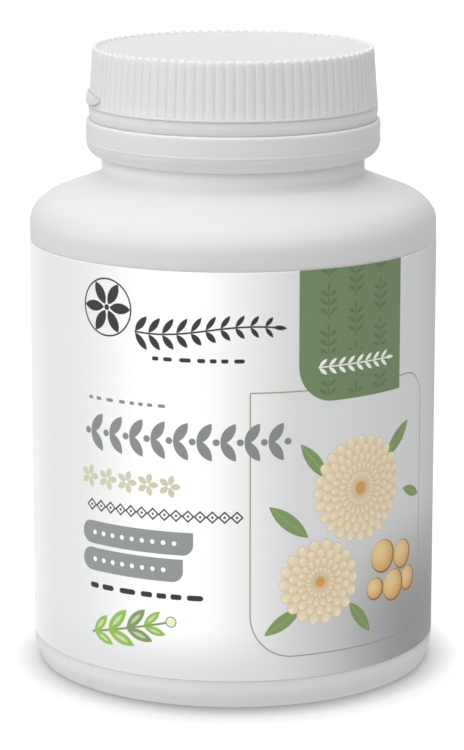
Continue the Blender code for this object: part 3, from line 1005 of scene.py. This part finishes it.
def print_branch(art):
    """A dark six-leaved rosette in a ring and a long leafy branch at the top left."""
    across, up = art.about(-19.1, 57.6)
    petals = art.rosette(across, up, 6, 2.25, 1.75, 0.78)
    art.ink(petals.at_most(art.dot(across, up, 0.42)), INK_BLACK)
    art.ink(abs(art.dot(across, up, 4.1)) - 0.12, INK_BLACK)

    start, pace, pairs = -14.4, 2.05, 10
    end = start + pace * pairs
    up = art.h - 55.2 - ((art.s + 4.4) * 0.22).sine() * 0.7
    size = 1.05 - 0.45 * ((art.s - start) / (end - start)).within_unit()
    cell = (art.s - start - pace / 2).off_nearest(pace)
    leaf = art.leaf(cell / size, abs(up) / size - 1.25, 1.45, 0.5, 52.0) * size
    branch = leaf.at_most(abs(up) - 0.13).at_least(art.beyond(start, end))
    art.ink(branch.at_most(art.leaf(art.s - end - 0.5, up, 1.0, 0.34)), INK_BLACK)
    art.ink(art.dashes(-12.0, 2.2, h=51.0, height=0.6, count=7), INK_BLACK)


def print_title(art):
    """A bold grey frieze of paired leaves between beads, and a row of small sand flowers under it."""
    pace, first, pairs = 3.4, -22.8, 9
    up = art.h - 39.3
    along = art.s - first
    leaves = art.leaf((along - pace / 2).off_nearest(pace), abs(up) - 1.2, 1.85, 0.76, 55.0)
    frieze = leaves.at_most(art.dot(along.off_nearest(pace), up, 0.5))
    art.ink(frieze.at_least(art.beyond(first - 0.6, first + pace * pairs + 0.6)), STONE_GREY)

    cell, ends = art.row(first=-22.6, pace=3.35, count=5)
    up = art.h - 32.6
    petals = art.rosette(cell, up, 5, 0.98, 0.72, 0.46)
    art.ink(petals.at_most(abs(art.dot(cell, up, 0.36)) - 0.1).at_least(ends), SAND)


def print_bars(art):
    """Rows of dashes, a chain of lozenges and two grey bars with white beads in them."""
    art.ink(art.dashes(-22.9, -9.2, h=44.2, height=0.5, count=8), STONE_GREY)
    cell, ends = art.row(first=-22.2, pace=1.75, count=14)
    up = art.h - 28.4
    link = abs(art.lozenge(cell, up, 0.8, 0.78)) - 0.11
    art.ink(link.at_most(art.dot(cell, up, 0.18)).at_least(ends), INK_BLACK)
    art.ink(art.dashes(-22.9, -3.7, h=16.4, height=0.8, count=7), INK_BLACK)
    start, round_end, bead_pace = -24.0, 1.65, 1.65
    for end, h in GREY_BARS:
        across, up = art.about((start + end) / 2, h)
        rounding = art.corners(across, up, round_end, SQUARE, round_end, round_end)
        art.ink(art.bar(across, up, (end - start) / 2, 1.7, rounding), BAR_GREY)
        beads = art.dot((art.s - start - 2.3).off_nearest(bead_pace), up, 0.34)
        art.ink(beads.at_least(abs(across) - (end - start) / 2 + 1.7), PAPER)


def print_sprig(art):
    """A small green sprig with a pale bud at the bottom left."""
    across, up = art.about(-16.0, 10.9, 14.0)
    art.ink(art.bar(across, up, 6.6, 0.16, corner=0.16), SPRIG_GREEN)
    for place, degrees, length, color in SPRIG_LEAVES:
        leaf = art.leaf(across - place, abs(up) - length * 0.55, length, length * 0.36, degrees)
        art.ink(leaf, color)
        art.ink(leaf + length * 0.24, PALE_GREEN, strength=0.5)
    bud = art.dot(across - 7.2, up, 0.75)
    art.ink(bud, PALE_GREEN)
    art.ink(abs(bud) - 0.08, SPRIG_GREEN)


def print_blossom(art, s, h, radius, petals, tiers):
    """A many-petalled cream blossom, drawn tier by tier from the outside to its golden middle."""
    across, up = art.about(s, h)
    far = art.finish.length(across, up)
    turn = across.math("ARCTAN2", up, across)
    for tier in range(tiers):
        tier_radius = radius * (1.0 - 0.86 * tier / tiers)
        fluted = abs((turn * (petals / 2) + 1.7 * tier).cosine())
        edge = tier_radius * (0.86 + 0.14 * fluted.power(0.6))
        fade = (far / tier_radius).power(2.0)
        petal = art.finish.mixed(fade * (0.35 + 0.65 * fluted), CREAM_SHADE, CREAM)
        art.ink(far - edge - 0.12, CREAM_SHADE, strength=0.8)
        art.ink(far - edge, petal)
    art.ink(far - radius * 0.12, GOLD)


def print_berry(art, s, h, radius):
    across, up = art.about(s, h)
    far = art.finish.length(across + radius * 0.3, up - radius * 0.35)
    ball = art.finish.mixed((far / (radius * 1.3)).power(1.6), GOLD_LIGHT, GOLD)
    art.ink(art.dot(across, up, radius), GOLD_SHADE)
    art.ink(art.dot(across + 0.12, up - 0.12, radius - 0.2), ball)


def print_picture(art):
    """Two blossoms, golden berries and leaves inside a thin rounded frame."""
    across, up = art.about(18.2, 27.0)
    outline = art.bar(across, up, 15.8, 19.4, art.corners(across, up, SQUARE, 4.5, 6.3, 6.3))
    art.ink(abs(outline) - 0.1, OLIVE_LINE)
    for s, h, degrees, length in PICTURE_LEAVES:
        across, up = art.about(s, h, degrees)
        art.ink(art.leaf(across, up, length, length * 0.3), SPRIG_GREEN)
        vein = (abs(up) - 0.09).at_least(abs(across) - length * 0.85)
        art.ink(vein, FRESH_GREEN, strength=0.55)
    print_blossom(art, 19.6, 31.2, radius=7.8, petals=24, tiers=5)
    print_blossom(art, 12.8, 18.2, radius=6.2, petals=18, tiers=4)
    for s, h, radius in BERRIES:
        print_berry(art, s, h, radius)


def print_painted_shade_and_highlight(art):
    """Painted shade: grey on the left, along the foot and on the right (also the picture's backdrop), and a
    painted top-edge highlight.
    """
    # Painted shade in grey on the left, over the right and along the foot, deeper at the lower right, faded
    # out toward the back
    turned_away = soft_step(art.s, *TURNED_AWAY)
    foot = soft_step(art.h, LABEL_BOTTOM + FOOT_FADE, LABEL_BOTTOM) * soft_step(art.s, *FOOT_IN)
    low = soft_step(art.h, *LOW_FADE) * soft_step(art.s, *LOW_IN)
    art.tint(soft_step(art.s, *BAND_IN) * soft_step(art.s, *BAND_OUT), SHADE_BAND_GREY)
    art.tint(soft_step(art.s, *BACKDROP_SHADE_IN) * turned_away, BACKDROP_AND_SHADE_GREY)
    art.tint(foot * turned_away, BACKDROP_AND_SHADE_GREY)
    art.tint(soft_step(art.s, *SIDE_IN) * turned_away * SIDE_SHARE, DEEP_SHADE_GREY)
    art.tint(low * turned_away, DEEP_SHADE_GREY)
    # Painted highlight: a whiter line along the film's top edge
    art.ink(LABEL_TOP - TOP_HIGHLIGHT_WIDTH - art.h, EDGE_HIGHLIGHT_WHITE, strength=EDGE_HIGHLIGHT_SHARE)


def print_back(art):
    """The back: an empty ruled table on one side, plain lines of dashes on the other."""
    middle, half_width, half_height = 34.5, 20.0, 24.5
    across, up = art.about(-67.5, middle)
    table = art.bar(across, up, half_width, half_height, corner=1.2)
    art.ink(table.at_least(53.8 - art.h), LEAF_GREEN)
    pace = 4.2
    row = (art.h - 11.8).off_nearest(pace)
    inside = (table + 1.6).at_least(art.h - 52.6)
    rules = abs((row - pace / 2).off_nearest(pace)) - 0.07
    art.ink(rules.at_least(inside), STONE_GREY)
    uneven = art.s + ((art.h - row) * 0.9).sine() * 2.4
    thin = abs(row) - 0.42
    names = thin.at_least(abs(uneven + 77.6) - 6.0)
    names = names.at_least(DASH_GAP_HALF - abs(uneven.off_nearest(3.7)))
    amounts = thin.at_least(abs(art.s + 52.4) - 2.2)
    art.ink(names.at_most(amounts).at_least(inside), INK_BLACK, strength=0.8)
    art.ink(abs(table) - 0.13, INK_BLACK)

    across, up = art.about(68.0, middle)
    row = (art.h - 9.0).off_nearest(2.5)
    level = art.h - row
    ragged = art.s + (level * 1.7).sine() * 2.2 + (level * 0.61).sine() * 1.8
    lines = (abs(row) - 0.36).at_least(abs(ragged - 66.0) - 17.4)
    lines = lines.at_least(DASH_GAP_HALF - abs(ragged.off_nearest(4.4)))
    lines = lines.at_least(abs(across) - half_width)
    upper_block = abs(art.h - 38.2) - 8.8
    lower_block = abs(art.h - 15.3) - 6.9
    art.ink(lines.at_least(upper_block.at_most(lower_block)), STONE_GREY)
    art.ink(art.dashes(50.0, 70.0, h=50.6, height=1.3, count=4), LEAF_GREEN)
    cell, up = (art.s - 54.0).off_nearest(6.4), art.h - 57.0
    badges = abs(art.dot(cell, up, 2.2)) - 0.14
    leaf = art.leaf(cell, up, 1.5, 0.5, 50.0)
    art.ink(badges.at_most(leaf).at_least(abs(art.s - 60.4) - 10.0), LEAF_GREEN)


def printed_film():
    """The label: white satin film with all its print, and its painted shade and highlight."""
    finish = new_finish("printed_label_film", {"IOR": 1.5})
    art = Print(finish)
    print_painted_shade_and_highlight(art)
    print_picture(art)
    print_banner(art)
    print_branch(art)
    print_title(art)
    print_bars(art)
    print_sprig(art)
    print_back(art)
    place = finish.place()
    fibre = finish.noise(place, per_mm=3.0, detail=3.0)
    patches = finish.noise(place, per_mm=0.08, detail=2.0)
    finish.feed(SHADER, "Base Color", art.color)
    finish.feed(SHADER, "Roughness", 0.34 + 0.08 * fibre + 0.06 * patches)
    finish.feed(SHADER, "Normal", finish.relief(patches + fibre * 0.05, depth=0.06))
    return finish.owner


# ---- studio

CAMERA_DISTANCE = 465.7
CAMERA_HEIGHT = 144.83
CAMERA_PITCH = math.radians(12.396)
CAMERA_SIDE = -0.17
PHOTO_HEIGHT_PX = 750
FOCAL_PX = 3187.2
SENSOR = 36.0
SKY = "ShaderNodeBackground"

FLOOR_HALF = 6000.0
FLOOR_Z = -0.02
FLOOR_BOUNCE = grey(0.62)
FLOOR_DARK = grey(0.12)
CAST_SHADE = 11.0
CAST_LEAN = (-0.1, 1.0)
CONTACT_SHADE = 4.6
CONTACT_LEAN = (-0.2, 0.0)
CONTACT_SHARE = 0.5
DEEPEST_SHADE = 0.78
SHADE_SAMPLES = 8

# The room's soft lights: degrees from the front to the right, degrees upwards, strength
LIGHT_SPREAD = 4.0
ROOM_LIGHTS = ((-90.0, 10.0, 0.5), (-50.0, 10.0, 1.3), (0.0, 10.0, 0.18), (0.0, 50.0, 1.17),
               (-70.0, 45.0, 0.85), (70.0, 45.0, 0.88), (180.0, 20.0, 0.95), (0.0, 90.0, 0.52))


def make_camera():
    data = bpy.data.cameras.new("camera")
    data.sensor_fit = "VERTICAL"
    data.sensor_height = SENSOR
    data.lens = SENSOR * FOCAL_PX / PHOTO_HEIGHT_PX
    data.clip_start = 10 * MM
    camera = bpy.data.objects.new("camera", data)
    camera.location = Vector((CAMERA_SIDE, -CAMERA_DISTANCE, CAMERA_HEIGHT)) * MM
    camera.rotation_euler = (math.pi / 2 - CAMERA_PITCH, 0.0, 0.0)
    bpy.context.scene.collection.objects.link(camera)
    bpy.context.scene.camera = camera


def make_room():
    """Plain white for the camera, and for everything else large soft lights, stronger on the left."""
    world = bpy.data.worlds.new("studio")
    world.use_nodes = True
    bpy.context.scene.world = world
    room = NodeTree(world)
    room.set_up(SKY, {"Color": grey(1.0)})
    x, y, z = room.parts(room.node("ShaderNodeTexCoord", {}, {}, "Generated"))
    glow = 0.0
    for side, rise, strength in ROOM_LIGHTS:
        side, rise = math.radians(side), math.radians(rise)
        level = x * (math.sin(side) * math.cos(rise)) - y * (math.cos(side) * math.cos(rise))
        facing = level + z * math.sin(rise)
        glow = glow + facing.at_least(0.0).power(LIGHT_SPREAD) * strength
    seen = room.node("ShaderNodeLightPath", {}, {}, "Is Camera Ray")
    room.feed(SKY, "Strength", seen + (1.0 - seen) * glow)


def shade(finish, distance, lean):
    """How much of the leaning sky over a point is hidden by things this near."""
    up = finish.node("ShaderNodeCombineXYZ", {}, {0: lean[0], 1: lean[1], 2: 1.0})
    sockets = {"Distance": distance * MM, "Normal": up}
    return 1.0 - finish.node("ShaderNodeAmbientOcclusion", {"samples": SHADE_SAMPLES}, sockets, "AO")


def make_floor():
    """A white floor that glows evenly, with a soft shade where the bottle stands."""
    corners = [(x * FLOOR_HALF, y * FLOOR_HALF, FLOOR_Z) for x, y in ((-1, -1), (1, -1), (1, 1), (-1, 1))]
    floor = new_mesh("studio_floor", corners, [(0, 1, 2, 3)])
    finish = new_finish("floor_paper", {"Base Color": grey(0.05), "Roughness": 0.8,
                                        "Specular IOR Level": 0.05, "Emission Strength": 1.0})
    cast = shade(finish, CAST_SHADE, CAST_LEAN)
    contact = shade(finish, CONTACT_SHADE, CONTACT_LEAN)
    dark = (cast.power(2.0) + contact * CONTACT_SHARE).at_most(DEEPEST_SHADE)
    glow = finish.mixed(dark, grey(1.0), FLOOR_DARK)
    seen = finish.node("ShaderNodeLightPath", {}, {}, "Is Camera Ray")
    finish.feed(SHADER, "Emission Color", finish.mixed(seen, FLOOR_BOUNCE, glow))
    floor.data.materials.append(finish.owner)


# ---- putting it together


def dress(piece, material, body, node):
    """Give a piece its finish, put it on the body that carries it, and hide the CAD node it stands for."""
    piece.data.materials.clear()
    piece.data.materials.append(material)
    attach(piece, body)
    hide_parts(node)


def main():
    # The bottle's paler tone on its cone, neck and heel is painted light
    body_white = moulded_plastic("bottle_polyethylene", pale=0.645, deep=0.625, waviness=0.12, painted_light_tone=0.72)
    cap_white = moulded_plastic("cap_polypropylene", pale=0.66, deep=0.64, waviness=0.02)
    strip_white = moulded_plastic("strip_polypropylene", pale=0.67, deep=0.65, waviness=0.02)
    dress(make_bottle(), body_white, "bottle_body", "bottle")
    dress(make_label(), printed_film(), "bottle_body", "label")
    dress(make_tear_strip(), strip_white, "bottle_body", "tear_band")
    dress(make_cap(), cap_white, "cap_body", "cap")
    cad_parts["liner"].material_slots[0].material = foam_liner()
    bpy.context.scene.view_settings.view_transform = "Standard"
    make_camera()
    make_room()
    make_floor()


main()
